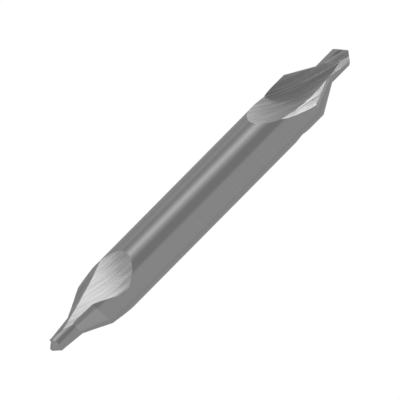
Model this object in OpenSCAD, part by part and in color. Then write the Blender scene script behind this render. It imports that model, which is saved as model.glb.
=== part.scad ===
// Double-ended centre drill, form A, ground from one round bar of high-speed steel.
// The axis lies along X with the origin at mid length. Both ends cut right-handed.

/* [Body] */
// Diameter of the round body
body_d = 6.3; // [5.5:0.1:8]
// Length over both drill points
overall_l = 47; // [40:0.5:60]

/* [Pilot and countersink] */
// Diameter of the pilot drill
pilot_d = 2.6; // [2.2:0.1:3.2]
// Length of the pilot drill with its point
pilot_l = 3.8; // [3:0.1:5]
// Included angle of the countersink
countersink_angle = 60; // [50:1:75]

/* [Drill point] */
// Included angle of the two lips
point_angle = 98.5; // [90:0.5:120]
// Clearance of the face behind each lip
lip_relief = 2; // [1:0.5:8]

/* [Gullet wheel] */
// Radius of the wheel that grinds the gullet and the countersink's cutting edge
gullet_wheel_r = 22.3; // [18:0.1:30]
// Radius of its nose
gullet_nose_r = 0.4; // [0.2:0.01:0.8]
// Angle of its lip side off the wheel's plane
gullet_lip_side = 1; // [0.5:0.5:10]
// Angle of its heel side off the wheel's plane
gullet_heel_side = 76.5; // [60:0.5:82]
// Turn of the wheel's plane out of the drill's axis
gullet_skew = 21; // [15:0.5:28]
// Direction from which the wheel is fed in, counted ahead from the cutting edge
gullet_feed = 34; // [25:0.5:45]
// Distance of the wheel's lowest point behind the drill point
gullet_from_tip = 3.41; // [2.5:0.01:5]
// Height of that lowest point over the axis
gullet_floor = 0.23; // [0.2:0.01:0.6]
// Shift of the wheel along its spindle
gullet_shift = 0.2; // [-0.3:0.01:0.6]

/* [Pilot wheel] */
// Radius of the wheel that grinds the pilot's flute and the heel side of the gullet
pilot_wheel_r = 36.7; // [30:0.1:45]
// Radius of its nose
pilot_nose_r = 0.3; // [0.2:0.01:0.6]
// Angle of its lip side off the wheel's plane
pilot_lip_side = 2; // [0.5:0.5:10]
// Angle of its heel side off the wheel's plane
pilot_heel_side = 79; // [65:0.5:85]
// Turn of the wheel's plane out of the drill's axis
pilot_skew = 11.5; // [5:0.5:15]
// Direction from which the wheel is fed in, counted ahead from the cutting edge
pilot_feed = 70; // [60:0.5:80]
// Distance of the wheel's lowest point beyond the drill point
pilot_past_tip = 2.29; // [1:0.01:3.5]
// Height of that lowest point over the axis
pilot_floor = 0.05; // [0:0.01:0.3]
// Shift of the wheel along its spindle
pilot_shift = 0.41; // [0:0.01:0.8]

/* [Ends] */
// Turn of the first end's cutting edges about the axis
first_end_turn = 11; // [0:1:90]
// Turn of the second end's cutting edges about the axis
second_end_turn = 90; // [0:1:180]

/* [Hidden] */
$fn = 96;
steel_grey = [0.56, 0.56, 0.57];

body_r = body_d / 2;
pilot_r = pilot_d / 2;
tip_x = overall_l / 2;
countersink_l = (body_r - pilot_r) / tan(countersink_angle / 2);
pilot_root_x = tip_x - pilot_l;
body_end_x = pilot_root_x - countersink_l;

// The wheels reach clear past the body on every side
wheel_depth = 2 * body_d;
wheel_side_run = 1.5 * body_d;
// Length of the turned blank past each drill point, all of it ground away
point_stock = 0.5;
// The nose of a dressed wheel turns in steps of about this angle
nose_step = 24;
// The blank's revolve starts here, inside a land of both ends, so that no flute splits the body's wall
revolve_from = first_end_turn + 39;

// A turned blank: body, countersinks and pilots
module blank() {
    end_x = tip_x + point_stock;
    end = [[0, end_x], [pilot_r, end_x], [pilot_r, pilot_root_x], [body_r, body_end_x]];
    other_end = [for (p = end) [p[0], -p[1]]];
    rotate([revolve_from, 0, 0])
        rotate([0, 90, 0])
            rotate_extrude()
                polygon(concat(other_end, [for (i = [len(end) - 1:-1:0]) end[i]]));
}

// A grinding wheel about Z: two straight sides that meet in a round nose at the rim
module wheel(radius, nose_r, lip_side, heel_side) {
    from = lip_side - 90;
    to = 90 - heel_side;
    steps = ceil((to - from) / nose_step);
    nose = [for (i = [0:steps]) let (a = from + (to - from) * i / steps)
        [radius - nose_r + nose_r * cos(a), nose_r * sin(a)]];
    lip_end = nose[0] - wheel_side_run * [cos(lip_side), sin(lip_side)];
    heel_end = nose[steps] + wheel_side_run * [-cos(heel_side), sin(heel_side)];
    inner_r = radius - wheel_depth;
    rotate_extrude()
        polygon(concat(nose, [heel_end, [inner_r, heel_end[1]], [inner_r, lip_end[1]], lip_end]));
}

// A wheel set to the drill: fed in across the axis, skewed, with its lowest point at x
module set_wheel(radius, feed, skew, x, floor_height, shift) {
    rotate([feed, 0, 0])
        translate([x, floor_height + radius, shift])
            rotate([0, -skew, 0])
                children();
}

// One flute: the skewed gullet and the longer cut along the pilot
module flute() {
    set_wheel(gullet_wheel_r, gullet_feed, gullet_skew, tip_x - gullet_from_tip, gullet_floor, gullet_shift)
        wheel(gullet_wheel_r, gullet_nose_r, gullet_lip_side, gullet_heel_side);
    set_wheel(pilot_wheel_r, pilot_feed, pilot_skew, tip_x + pilot_past_tip, pilot_floor, pilot_shift)
        wheel(pilot_wheel_r, pilot_nose_r, pilot_lip_side, pilot_heel_side);
}

// What the point grinding takes off behind one lip: the two faces meet in the chisel edge across the axis
module point_clearance() {
    size = 2 * body_d;
    translate([tip_x, 0, 0])
        rotate([0, 0, 90 - point_angle / 2])
            rotate([0, lip_relief, 0])
                translate([0, -size / 2, -size / 2])
                    cube(size);
}

// What is ground away for one cutting edge at the end towards +X
module lip_grinding() {
    flute();
    point_clearance();
}

// A bar with both cutting edges ground on its end towards +X
module ground_end(turn) {
    difference() {
        difference() {
            children();
            rotate([turn, 0, 0])
                lip_grinding();
        }
        rotate([turn + 180, 0, 0])
            lip_grinding();
    }
}

module centre_drill() {
    color(steel_grey)
        ground_end(first_end_turn)
            rotate([0, 0, 180])
                ground_end(second_end_turn)
                    blank();
}

centre_drill();
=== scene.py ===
from math import atan2, ceil, cos, hypot, pi, radians, sin, tan

import bmesh
import bpy
from mathutils import Matrix, Vector


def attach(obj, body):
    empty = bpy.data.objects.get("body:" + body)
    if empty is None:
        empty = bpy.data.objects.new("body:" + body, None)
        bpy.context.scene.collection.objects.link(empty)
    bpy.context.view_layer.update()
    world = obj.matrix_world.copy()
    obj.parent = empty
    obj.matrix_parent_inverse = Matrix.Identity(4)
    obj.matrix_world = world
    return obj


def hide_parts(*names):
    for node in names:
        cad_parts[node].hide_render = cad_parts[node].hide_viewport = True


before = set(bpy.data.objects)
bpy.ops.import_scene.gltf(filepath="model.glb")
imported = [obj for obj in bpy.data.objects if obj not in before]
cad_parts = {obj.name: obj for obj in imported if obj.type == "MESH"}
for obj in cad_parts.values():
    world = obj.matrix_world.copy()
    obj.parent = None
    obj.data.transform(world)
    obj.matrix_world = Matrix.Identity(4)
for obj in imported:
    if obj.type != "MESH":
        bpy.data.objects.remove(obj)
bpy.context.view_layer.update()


# The camera
# A long lens looks straight down on the drill, whose axis runs from the lower left to the upper right.
METRE_PER_MM = 0.001
PICTURE_WIDTH_MM = 44.56
CAMERA_X_MM = 0.043
CAMERA_Y_MM = -0.035
CAMERA_HEIGHT_MM = 450
SENSOR_WIDTH_MM = 36
NEAREST_MM = 10
FARTHEST_MM = 10000
AXIS_ANGLE = radians(45.28)

camera_data = bpy.data.cameras.new("camera")
camera_data.sensor_width = SENSOR_WIDTH_MM
camera_data.lens = SENSOR_WIDTH_MM * CAMERA_HEIGHT_MM / PICTURE_WIDTH_MM
camera_data.clip_start = NEAREST_MM * METRE_PER_MM
camera_data.clip_end = FARTHEST_MM * METRE_PER_MM
camera = bpy.data.objects.new("camera", camera_data)
camera.rotation_euler = (0, 0, -AXIS_ANGLE)
camera.location = Vector((CAMERA_X_MM, CAMERA_Y_MM, CAMERA_HEIGHT_MM)) * METRE_PER_MM
bpy.context.scene.collection.objects.link(camera)
bpy.context.scene.camera = camera
bpy.context.scene.view_settings.view_transform = "Standard"


# The floor
# A wide pale sheet far below the drill, white where the camera looks at it. The white is seen by the camera
# and in reflections alike, and a share of the sheet is plain matt, which takes the drill's shadow.
FLOOR_Z_MM = -400
FLOOR_R_MM = 1800
FLOOR_SIDES = 96
FLOOR_GREY = (0.97, 0.97, 0.97, 1)
WHITE_TO_MM = 62
GREY_FROM_MM = 82
WHITE_SHARE = 0.8
WHITE_STRENGTH = 1.17
ALONG_THE_FLOOR = (1, 1, 0)

bpy.ops.object.select_all(action="DESELECT")
bpy.ops.mesh.primitive_circle_add(
    vertices=FLOOR_SIDES,
    radius=FLOOR_R_MM * METRE_PER_MM,
    fill_type="NGON",
    location=(0, 0, FLOOR_Z_MM * METRE_PER_MM),
)
floor = bpy.context.object
floor.name = "floor"
bpy.ops.object.transform_apply(location=True, rotation=False, scale=False)

floor_paper = bpy.data.materials.new("floor_paper")
floor_paper.use_nodes = True
floor.data.materials.append(floor_paper)
tree = floor_paper.node_tree
tree.nodes.clear()
output = tree.nodes.new("ShaderNodeOutputMaterial")
matt = tree.nodes.new("ShaderNodeBsdfDiffuse")
matt.inputs["Color"].default_value = FLOOR_GREY
white = tree.nodes.new("ShaderNodeEmission")
white.inputs["Strength"].default_value = WHITE_STRENGTH

# the white fades out past the part of the sheet that the camera looks at
place = tree.nodes.new("ShaderNodeTexCoord")
from_middle = tree.nodes.new("ShaderNodeVectorMath")
from_middle.operation = "MULTIPLY"
from_middle.inputs[1].default_value = ALONG_THE_FLOOR
tree.links.new(place.outputs["Object"], from_middle.inputs[0])
distance = tree.nodes.new("ShaderNodeVectorMath")
distance.operation = "LENGTH"
tree.links.new(from_middle.outputs["Vector"], distance.inputs[0])
fade = tree.nodes.new("ShaderNodeMapRange")
fade.interpolation_type = "SMOOTHSTEP"
fade.inputs["From Min"].default_value = WHITE_TO_MM * METRE_PER_MM
fade.inputs["From Max"].default_value = GREY_FROM_MM * METRE_PER_MM
fade.inputs["To Min"].default_value = WHITE_SHARE
fade.inputs["To Max"].default_value = 0
tree.links.new(distance.outputs["Value"], fade.inputs["Value"])

# the white is there for what is seen straight, mirrored or through something clear
rays = tree.nodes.new("ShaderNodeLightPath")
mirrored_or_through = tree.nodes.new("ShaderNodeMath")
mirrored_or_through.operation = "MAXIMUM"
tree.links.new(rays.outputs["Is Glossy Ray"], mirrored_or_through.inputs[0])
tree.links.new(rays.outputs["Is Transmission Ray"], mirrored_or_through.inputs[1])
seen = tree.nodes.new("ShaderNodeMath")
seen.operation = "MAXIMUM"
tree.links.new(rays.outputs["Is Camera Ray"], seen.inputs[0])
tree.links.new(mirrored_or_through.outputs["Value"], seen.inputs[1])
white_here = tree.nodes.new("ShaderNodeMath")
white_here.operation = "MULTIPLY"
tree.links.new(seen.outputs["Value"], white_here.inputs[0])
tree.links.new(fade.outputs["Result"], white_here.inputs[1])
sheet = tree.nodes.new("ShaderNodeMixShader")
tree.links.new(white_here.outputs["Value"], sheet.inputs["Fac"])
tree.links.new(matt.outputs["BSDF"], sheet.inputs[1])
tree.links.new(white.outputs["Emission"], sheet.inputs[2])
tree.links.new(sheet.outputs["Shader"], output.inputs["Surface"])


# The light
# A grey light tent stands round the drill, with a dark slot overhead that the camera looks through, a soft
# bright panel along one side and paler ends. Lamps beside and below that panel light the flutes.
TENT_STOPS = (
    # degrees about the drill's axis, from overhead towards the lit side, and the tent's grey there
    (-180, 0.35),
    (-110, 0.38),
    (-20, 0.38),
    (-12, 0.26),
    (16, 0.26),
    (28, 0.30),
    (40, 0.34),
    (68, 0.34),
    (78, 0.30),
    (90, 0.35),
    (100, 0.42),
    (115, 0.38),
    (180, 0.35),
)
PANEL_STOPS = (
    # the same angle, and what the panel adds to the tent
    (-180, 0),
    (20, 0),
    (34, 0.12),
    (50, 0.38),
    (68, 0.06),
    (78, 0),
    (180, 0),
)
END_STOPS = (
    # how far a direction leans along the drill, and the tent's strength there
    (-1, 1.2),
    (-0.49, 1.08),
    (-0.35, 1.0),
    (0.42, 1.0),
    (0.54, 1.2),
    (1, 1.2),
)
END_SCALE = 2
PANEL_HALF = 0.12
PANEL_FADE = 0.32

world = bpy.data.worlds.new("light_tent")
bpy.context.scene.world = world
world.use_nodes = True
tree = world.node_tree
tree.nodes.clear()
output = tree.nodes.new("ShaderNodeOutputWorld")
sky = tree.nodes.new("ShaderNodeBackground")
direction = tree.nodes.new("ShaderNodeTexCoord")
parts = tree.nodes.new("ShaderNodeSeparateXYZ")
tree.links.new(direction.outputs["Generated"], parts.inputs["Vector"])
turn = tree.nodes.new("ShaderNodeMath")
turn.operation = "ARCTAN2"
tree.links.new(parts.outputs["Y"], turn.inputs[0])
tree.links.new(parts.outputs["Z"], turn.inputs[1])
about_axis = tree.nodes.new("ShaderNodeMath")
about_axis.operation = "DEGREES"
tree.links.new(turn.outputs["Value"], about_axis.inputs[0])


def grey_ramp(value, stops, scale):
    """Greys over a value that runs from the first stop to the last. They are stored over the scale."""
    low = stops[0][0]
    high = stops[-1][0]
    share = tree.nodes.new("ShaderNodeMapRange")
    share.inputs["From Min"].default_value = low
    share.inputs["From Max"].default_value = high
    tree.links.new(value, share.inputs["Value"])
    ramp = tree.nodes.new("ShaderNodeValToRGB")
    while len(ramp.color_ramp.elements) < len(stops):
        ramp.color_ramp.elements.new(1)
    for element, (at, grey) in zip(ramp.color_ramp.elements, stops):
        element.position = (at - low) / (high - low)
        element.color = (grey / scale, grey / scale, grey / scale, 1)
    tree.links.new(share.outputs["Result"], ramp.inputs["Fac"])
    return ramp.outputs["Color"]


tent = grey_ramp(about_axis.outputs["Value"], TENT_STOPS, 1)
panel = grey_ramp(about_axis.outputs["Value"], PANEL_STOPS, 1)
ends = grey_ramp(parts.outputs["X"], END_STOPS, END_SCALE)
tent_stored = tree.nodes.new("ShaderNodeVectorMath")
tent_stored.operation = "MULTIPLY"
tree.links.new(tent, tent_stored.inputs[0])
tree.links.new(ends, tent_stored.inputs[1])
tent_here = tree.nodes.new("ShaderNodeVectorMath")
tent_here.operation = "SCALE"
tent_here.inputs["Scale"].default_value = END_SCALE
tree.links.new(tent_stored.outputs["Vector"], tent_here.inputs["Vector"])

# the panel stands beside the middle of the drill and fades towards both ends
lean = tree.nodes.new("ShaderNodeMath")
lean.operation = "ABSOLUTE"
tree.links.new(parts.outputs["X"], lean.inputs[0])
panel_share = tree.nodes.new("ShaderNodeMapRange")
panel_share.interpolation_type = "SMOOTHSTEP"
panel_share.inputs["From Min"].default_value = PANEL_HALF
panel_share.inputs["From Max"].default_value = PANEL_FADE
panel_share.inputs["To Min"].default_value = 1
panel_share.inputs["To Max"].default_value = 0
tree.links.new(lean.outputs["Value"], panel_share.inputs["Value"])
panel_here = tree.nodes.new("ShaderNodeVectorMath")
panel_here.operation = "SCALE"
tree.links.new(panel, panel_here.inputs["Vector"])
tree.links.new(panel_share.outputs["Result"], panel_here.inputs["Scale"])
together = tree.nodes.new("ShaderNodeVectorMath")
together.operation = "ADD"
tree.links.new(tent_here.outputs["Vector"], together.inputs[0])
tree.links.new(panel_here.outputs["Vector"], together.inputs[1])
tree.links.new(together.outputs["Vector"], sky.inputs["Color"])
tree.links.new(sky.outputs["Background"], output.inputs["Surface"])

# square lamps that face the drill; a brightness of one is white in a mirror
LAMP_DISTANCE_MM = 300
LAMPS = (
    dict(name="lamp_left", towards=(-0.47, 0.67, 0.57), size_mm=132, brightness=0.77),
    dict(name="lamp_right", towards=(0.58, 0.60, 0.55), size_mm=95, brightness=1.2),
    dict(name="lamp_low", towards=(0.65, 0.67, -0.38), size_mm=90, brightness=0.45),
)
for row in LAMPS:
    towards = Vector(row["towards"])
    lamp_data = bpy.data.lights.new(row["name"], "AREA")
    lamp_data.size = row["size_mm"] * METRE_PER_MM
    lamp_data.energy = row["brightness"] * pi * lamp_data.size ** 2
    lamp = bpy.data.objects.new(row["name"], lamp_data)
    lamp.location = towards * LAMP_DISTANCE_MM * METRE_PER_MM
    lamp.rotation_euler = towards.to_track_quat("Z", "Y").to_euler()
    bpy.context.scene.collection.objects.link(lamp)


# The drill's blank
# A round bar of high-speed steel, turned at each end to a sixty degree countersink and a slim pilot,
# then ground all over. It is drawn in millimetres and made into metres when it is finished.
BODY_R = 3.15
TIP_X = 23.5
PILOT_R = 1.3
PILOT_L = 3.8
COUNTERSINK_HALF_ANGLE = radians(30)
BLANK_SIDES = 288

countersink_l = (BODY_R - PILOT_R) / tan(COUNTERSINK_HALF_ANGLE)
pilot_root_x = TIP_X - PILOT_L
body_end_x = pilot_root_x - countersink_l
pilot_share = PILOT_R / BODY_R


def select_end_face(end):
    """Selects the flat face that looks out along the axis at one end."""
    bpy.ops.mesh.select_all(action="DESELECT")
    mesh = bmesh.from_edit_mesh(bpy.context.object.data)
    outmost = max(mesh.faces, key=lambda face: face.calc_center_median().x * end)
    outmost.select_set(True)
    mesh.select_flush_mode()
    bmesh.update_edit_mesh(bpy.context.object.data)


bpy.ops.object.select_all(action="DESELECT")
bpy.ops.mesh.primitive_cylinder_add(
    vertices=BLANK_SIDES, radius=BODY_R, depth=2 * body_end_x, rotation=(0, pi / 2, 0)
)
drill = bpy.context.object
drill.name = "drill"
drill.data.name = "drill"
bpy.ops.object.transform_apply(location=False, rotation=True, scale=False)
bpy.ops.object.mode_set(mode="EDIT")
bpy.ops.mesh.select_mode(type="FACE")
for end in (1, -1):
    select_end_face(end)
    bpy.ops.mesh.extrude_region_move(TRANSFORM_OT_translate={"value": (end * countersink_l, 0, 0)})
    bpy.ops.transform.resize(
        value=(1, pilot_share, pilot_share), center_override=(end * pilot_root_x, 0, 0)
    )
    bpy.ops.mesh.extrude_region_move(TRANSFORM_OT_translate={"value": (end * PILOT_L, 0, 0)})
bpy.ops.object.mode_set(mode="OBJECT")

land_steel = bpy.data.materials.new("land_steel")
drill.data.materials.append(land_steel)


# The flutes
# Each end has two flutes ground from the solid bar by two wheels: a skewed wheel that makes the gullet in
# front of the countersink's cutting edge, and a broader one that runs along the pilot and the heel side.
# The wheels are dressed anew for each end, so the two ends differ a little.
WHEEL_SECTOR = radians(64)
WHEEL_STEPS = 128
WHEEL_DEPTH = 12.6
WHEEL_SIDE_RUN = 9.45
NOSE_STEP = radians(4)
RIDGES = 17
RIDGE_PITCH = 0.27
RIDGE_HEIGHT = 0.016
RIDGE_BEATS = (2.4, 5.1)


def dress_wheel(name, radius, nose_r, lip_side, heel_side, material):
    """A sector of a grinding wheel about Z: two straight sides and a round nose, swept about its spindle."""
    start = lip_side - pi / 2
    bend = pi / 2 - heel_side - start
    steps = ceil(bend / NOSE_STEP)
    angles = [start + bend * i / steps for i in range(steps + 1)]
    nose = [(radius - nose_r + nose_r * cos(a), nose_r * sin(a)) for a in angles]
    lip_r, lip_z = nose[0]
    heel_r, heel_z = nose[-1]
    lip_end = (lip_r - WHEEL_SIDE_RUN * cos(lip_side), lip_z - WHEEL_SIDE_RUN * sin(lip_side))
    heel_end = (heel_r - WHEEL_SIDE_RUN * cos(heel_side), heel_z + WHEEL_SIDE_RUN * sin(heel_side))

    # the heel side is not quite straight: it has shallow ridges, which leave grooves round the spindle
    ridges = []
    for i in range(1, RIDGES + 1):
        along = RIDGE_PITCH * i
        proud = RIDGE_HEIGHT * sum(sin(beat * i) for beat in RIDGE_BEATS) / len(RIDGE_BEATS)
        r = heel_r - along * cos(heel_side) + proud * sin(heel_side)
        z = heel_z + along * sin(heel_side) + proud * cos(heel_side)
        ridges.append((r, z))
    inner_r = radius - WHEEL_DEPTH
    profile = nose + ridges + [heel_end, (inner_r, heel_end[1]), (inner_r, lip_end[1]), lip_end]

    # the outline is drawn from one corner of a plane, point by point, in the plane where the sweep starts
    first_angle = -pi / 2 - WHEEL_SECTOR / 2
    points = [Vector((r * cos(first_angle), r * sin(first_angle), z)) for r, z in profile]
    bpy.ops.object.select_all(action="DESELECT")
    bpy.ops.mesh.primitive_plane_add(size=1)
    wheel = bpy.context.object
    wheel.name = name
    bpy.ops.object.mode_set(mode="EDIT")
    bpy.ops.mesh.select_mode(type="VERT")
    bpy.ops.mesh.merge(type="CENTER")
    bpy.ops.transform.translate(value=points[0])
    for here, there in zip(points, points[1:]):
        bpy.ops.mesh.extrude_region_move(TRANSFORM_OT_translate={"value": there - here})
    bpy.ops.mesh.select_all(action="SELECT")
    bpy.ops.mesh.edge_face_add()
    bpy.ops.mesh.select_all(action="SELECT")
    bpy.ops.mesh.spin(steps=WHEEL_STEPS, angle=WHEEL_SECTOR, center=(0, 0, 0), axis=(0, 0, -1))
    bpy.ops.mesh.select_all(action="SELECT")
    bpy.ops.mesh.normals_make_consistent(inside=False)
    bpy.ops.object.mode_set(mode="OBJECT")

    # the marks that the wheel leaves run round its spindle, so the map's first axis follows them
    marks = wheel.data.uv_layers.active
    for loop in wheel.data.loops:
        place = wheel.data.vertices[loop.vertex_index].co
        r = hypot(place.x, place.y)
        marks.data[loop.index].uv = (atan2(place.x, -place.y) * radius, place.z + r - radius)
    wheel.data.materials.append(material)
    return wheel


def set_wheel(feed, skew, x, floor_height, radius, shift):
    """Where a wheel stands for a cutting edge at +Y: fed in across the axis, skewed, lowest point at x."""
    return (
        Matrix.Rotation(feed, 4, "X")
        @ Matrix.Translation((x, floor_height + radius, shift))
        @ Matrix.Rotation(-skew, 4, "Y")
    )


# how each end is turned: the cutting edge's angle about the axis, then which way the end points
FIRST_END_TURN = radians(11)
SECOND_END_TURN = radians(90)
FIRST_END = Matrix.Rotation(FIRST_END_TURN, 4, "X")
SECOND_END = Matrix.Rotation(pi, 4, "Z") @ Matrix.Rotation(SECOND_END_TURN, 4, "X")
EDGE_TURNS = (Matrix.Identity(4), Matrix.Rotation(pi, 4, "X"))


def grind(tool, end_turn, place):
    """Cuts the tool's form out of the drill at both cutting edges of one end."""
    for edge_turn in EDGE_TURNS:
        tool.matrix_world = end_turn @ edge_turn @ place
        bpy.context.view_layer.update()
        cut = drill.modifiers.new("grind", "BOOLEAN")
        cut.operation = "DIFFERENCE"
        cut.solver = "EXACT"
        cut.material_mode = "TRANSFER"
        cut.object = tool
        bpy.ops.object.select_all(action="DESELECT")
        bpy.context.view_layer.objects.active = drill
        drill.select_set(True)
        bpy.ops.object.modifier_apply(modifier=cut.name)
    bpy.data.objects.remove(tool)


GULLET_LIP_SIDE = radians(1)
GULLET_SKEW = radians(21)
GULLET_FROM_TIP = 3.41
GULLETS = (
    dict(
        end_turn=FIRST_END,
        wheel_r=22.3,
        nose_r=0.08,
        heel_side=radians(76.5),
        feed=radians(35.5),
        floor_height=0.144,
        shift=-0.12,
    ),
    dict(
        end_turn=SECOND_END,
        wheel_r=26.2,
        nose_r=0.4,
        heel_side=radians(73.5),
        feed=radians(36.5),
        floor_height=0.25,
        shift=0.2,
    ),
)

gullet_steel = bpy.data.materials.new("gullet_steel")
for row in GULLETS:
    gullet_wheel = dress_wheel(
        "gullet_wheel", row["wheel_r"], row["nose_r"], GULLET_LIP_SIDE, row["heel_side"], gullet_steel
    )
    gullet_place = set_wheel(
        row["feed"], GULLET_SKEW, TIP_X - GULLET_FROM_TIP, row["floor_height"], row["wheel_r"], row["shift"]
    )
    grind(gullet_wheel, row["end_turn"], gullet_place)

PILOT_LIP_SIDE = radians(2)
PILOT_SKEW = radians(11.5)
PILOT_FEED = radians(70)
PILOT_FLUTES = (
    dict(
        end_turn=FIRST_END,
        wheel_r=60,
        nose_r=0.8,
        heel_side=radians(73),
        past_tip=6,
        floor_height=0.037,
        shift=1.665,
    ),
    dict(
        end_turn=SECOND_END,
        wheel_r=36.7,
        nose_r=0.3,
        heel_side=radians(75.5),
        past_tip=2.29,
        floor_height=0.05,
        shift=0.41,
    ),
)

pilot_steel = bpy.data.materials.new("pilot_steel")
for row in PILOT_FLUTES:
    pilot_wheel = dress_wheel(
        "pilot_wheel", row["wheel_r"], row["nose_r"], PILOT_LIP_SIDE, row["heel_side"], pilot_steel
    )
    pilot_place = set_wheel(
        PILOT_FEED, PILOT_SKEW, TIP_X + row["past_tip"], row["floor_height"], row["wheel_r"], row["shift"]
    )
    grind(pilot_wheel, row["end_turn"], pilot_place)


# The drill points
# Behind each lip the end is ground to one flat face with a little clearance. The two faces meet across the
# web in the chisel edge.
POINT_HALF_ANGLE = radians(49.25)
LIP_RELIEF = radians(2)
POINT_BLOCK = 12.6

point_place = (
    Matrix.Translation((TIP_X, 0, 0))
    @ Matrix.Rotation(pi / 2 - POINT_HALF_ANGLE, 4, "Z")
    @ Matrix.Rotation(LIP_RELIEF, 4, "Y")
)
point_steel = bpy.data.materials.new("point_steel")
for end_turn in (FIRST_END, SECOND_END):
    bpy.ops.object.select_all(action="DESELECT")
    bpy.ops.mesh.primitive_cube_add(size=POINT_BLOCK, location=(POINT_BLOCK / 2, 0, 0))
    point_block = bpy.context.object
    bpy.ops.object.transform_apply(location=True, rotation=False, scale=False)
    point_block.data.materials.append(point_steel)
    marks = point_block.data.uv_layers.active
    for loop in point_block.data.loops:
        place = point_block.data.vertices[loop.vertex_index].co
        marks.data[loop.index].uv = (place.y, place.z)
    grind(point_block, end_turn, point_place)


# The finished drill
# The edges between the ground faces stay sharp, each face is smooth, and the drill takes its real size.
CREASE_ANGLE = radians(20)

bpy.ops.object.select_all(action="DESELECT")
bpy.context.view_layer.objects.active = drill
drill.select_set(True)
bpy.ops.object.shade_smooth()
bpy.ops.object.mode_set(mode="EDIT")
mesh = bmesh.from_edit_mesh(drill.data)
for edge in mesh.edges:
    same_ground = len({face.material_index for face in edge.link_faces}) == 1
    edge.smooth = same_ground and edge.calc_face_angle(pi) < CREASE_ANGLE
bmesh.update_edit_mesh(drill.data)
bpy.ops.mesh.select_all(action="SELECT")
bpy.ops.transform.resize(value=(METRE_PER_MM,) * 3, center_override=(0, 0, 0))
bpy.ops.object.mode_set(mode="OBJECT")


# The steel
# High-speed steel, bright ground. The lands carry fine marks round the drill, and each flute and point face
# the longer marks of the wheel that ground it. The marks are bumps and rougher streaks, and the lighter and
# darker streaks that they give the colour are painted sheen.
MARKS_LENGTH_MM = 6
MARKS_WIDTH_MM = 0.22
FINE_LENGTH_MM = 3
FINE_WIDTH_MM = 0.1
FINE_SHARE = 0.25
MARKS_DETAIL = 2
MARKS_LOW = 0.3
MARKS_HIGH = 0.7

marks_and_sheen_group = bpy.data.node_groups.new("grinding_marks_and_sheen", "ShaderNodeTree")
marks_and_sheen_group.interface.new_socket("Place", in_out="INPUT", socket_type="NodeSocketVector")
marks_and_sheen_group.interface.new_socket("Dark", in_out="INPUT", socket_type="NodeSocketColor")
marks_and_sheen_group.interface.new_socket("Light", in_out="INPUT", socket_type="NodeSocketColor")
marks_and_sheen_group.interface.new_socket("Smooth", in_out="INPUT", socket_type="NodeSocketFloat")
marks_and_sheen_group.interface.new_socket("Rough", in_out="INPUT", socket_type="NodeSocketFloat")
marks_and_sheen_group.interface.new_socket("Colour", in_out="OUTPUT", socket_type="NodeSocketColor")
marks_and_sheen_group.interface.new_socket("Roughness", in_out="OUTPUT", socket_type="NodeSocketFloat")
marks_and_sheen_group.interface.new_socket("Height", in_out="OUTPUT", socket_type="NodeSocketFloat")
tree = marks_and_sheen_group
group_in = tree.nodes.new("NodeGroupInput")
group_out = tree.nodes.new("NodeGroupOutput")


def streaks(length, width):
    """Noise drawn out along the marks, which lie across the third axis."""
    stretch = tree.nodes.new("ShaderNodeVectorMath")
    stretch.operation = "MULTIPLY"
    stretch.inputs[1].default_value = (1 / length, 1 / length, 1 / width)
    tree.links.new(group_in.outputs["Place"], stretch.inputs[0])
    noise = tree.nodes.new("ShaderNodeTexNoise")
    noise.inputs["Scale"].default_value = 1
    noise.inputs["Detail"].default_value = MARKS_DETAIL
    tree.links.new(stretch.outputs["Vector"], noise.inputs["Vector"])
    return noise.outputs["Fac"]


coarse_marks = streaks(MARKS_LENGTH_MM, MARKS_WIDTH_MM)
fine_marks = streaks(FINE_LENGTH_MM, FINE_WIDTH_MM)
height = tree.nodes.new("ShaderNodeMix")
height.inputs["Factor"].default_value = FINE_SHARE
tree.links.new(coarse_marks, height.inputs["A"])
tree.links.new(fine_marks, height.inputs["B"])
tree.links.new(height.outputs["Result"], group_out.inputs["Height"])
# the marks also paint the colour lighter and darker between the two greys: a painted sheen along the marks
sheen_tone = tree.nodes.new("ShaderNodeMapRange")
sheen_tone.inputs["From Min"].default_value = MARKS_LOW
sheen_tone.inputs["From Max"].default_value = MARKS_HIGH
tree.links.new(height.outputs["Result"], sheen_tone.inputs["Value"])
sheen_colour = tree.nodes.new("ShaderNodeMix")
sheen_colour.data_type = "RGBA"
tree.links.new(group_in.outputs["Dark"], sheen_colour.inputs["A"])
tree.links.new(group_in.outputs["Light"], sheen_colour.inputs["B"])
tree.links.new(sheen_tone.outputs["Result"], sheen_colour.inputs["Factor"])
tree.links.new(sheen_colour.outputs["Result"], group_out.inputs["Colour"])
sheen = tree.nodes.new("ShaderNodeMapRange")
sheen.inputs["From Min"].default_value = MARKS_LOW
sheen.inputs["From Max"].default_value = MARKS_HIGH
tree.links.new(fine_marks, sheen.inputs["Value"])
tree.links.new(group_in.outputs["Smooth"], sheen.inputs["To Min"])
tree.links.new(group_in.outputs["Rough"], sheen.inputs["To Max"])
tree.links.new(sheen.outputs["Result"], group_out.inputs["Roughness"])
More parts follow.
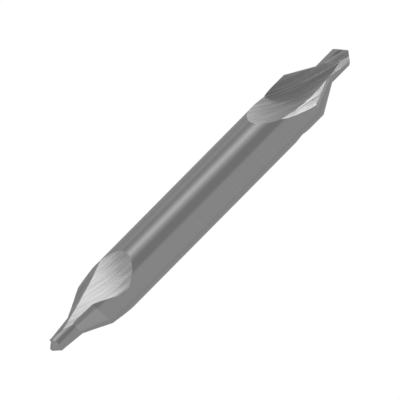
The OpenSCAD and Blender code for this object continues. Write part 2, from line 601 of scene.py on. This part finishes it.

# greys of the painted sheen streaks along the marks, smoothest and roughest finish, and depth of the marks
STEELS = (
    dict(steel=land_steel, dark=0.59, light=0.62, smooth=0.12, rough=0.18, depth_mm=0.0003),
    dict(steel=gullet_steel, dark=0.54, light=0.79, smooth=0.2, rough=0.3, depth_mm=0.03),
    dict(steel=pilot_steel, dark=0.38, light=0.8, smooth=0.2, rough=0.3, depth_mm=0.05),
    dict(steel=point_steel, dark=0.5, light=0.7, smooth=0.2, rough=0.3, depth_mm=0.01),
)
for row in STEELS:
    steel = row["steel"]
    steel.use_nodes = True
    tree = steel.node_tree
    shader = tree.nodes["Principled BSDF"]
    shader.inputs["Metallic"].default_value = 1
    place = tree.nodes.new("ShaderNodeTexCoord")
    to_mm = tree.nodes.new("ShaderNodeMapping")
    if steel == land_steel:
        # object coordinates, turned so that the marks run round the drill
        to_mm.inputs["Rotation"].default_value = (0, -pi / 2, 0)
        to_mm.inputs["Scale"].default_value = (1 / METRE_PER_MM,) * 3
        tree.links.new(place.outputs["Object"], to_mm.inputs["Vector"])
    else:
        # the wheel's own map, laid so that its second axis is across the marks
        to_mm.inputs["Rotation"].default_value = (pi / 2, 0, 0)
        tree.links.new(place.outputs["UV"], to_mm.inputs["Vector"])
    marks = tree.nodes.new("ShaderNodeGroup")
    marks.node_tree = marks_and_sheen_group
    marks.inputs["Dark"].default_value = (row["dark"], row["dark"], row["dark"], 1)
    marks.inputs["Light"].default_value = (row["light"], row["light"], row["light"], 1)
    marks.inputs["Smooth"].default_value = row["smooth"]
    marks.inputs["Rough"].default_value = row["rough"]
    tree.links.new(to_mm.outputs["Vector"], marks.inputs["Place"])
    # the streaks in the colour are painted sheen along the grinding marks
    tree.links.new(marks.outputs["Colour"], shader.inputs["Base Color"])
    tree.links.new(marks.outputs["Roughness"], shader.inputs["Roughness"])
    bump = tree.nodes.new("ShaderNodeBump")
    bump.inputs["Distance"].default_value = row["depth_mm"] * METRE_PER_MM
    tree.links.new(marks.outputs["Height"], bump.inputs["Height"])
    tree.links.new(bump.outputs["Normal"], shader.inputs["Normal"])

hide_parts("centre_drill")
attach(drill, "root")
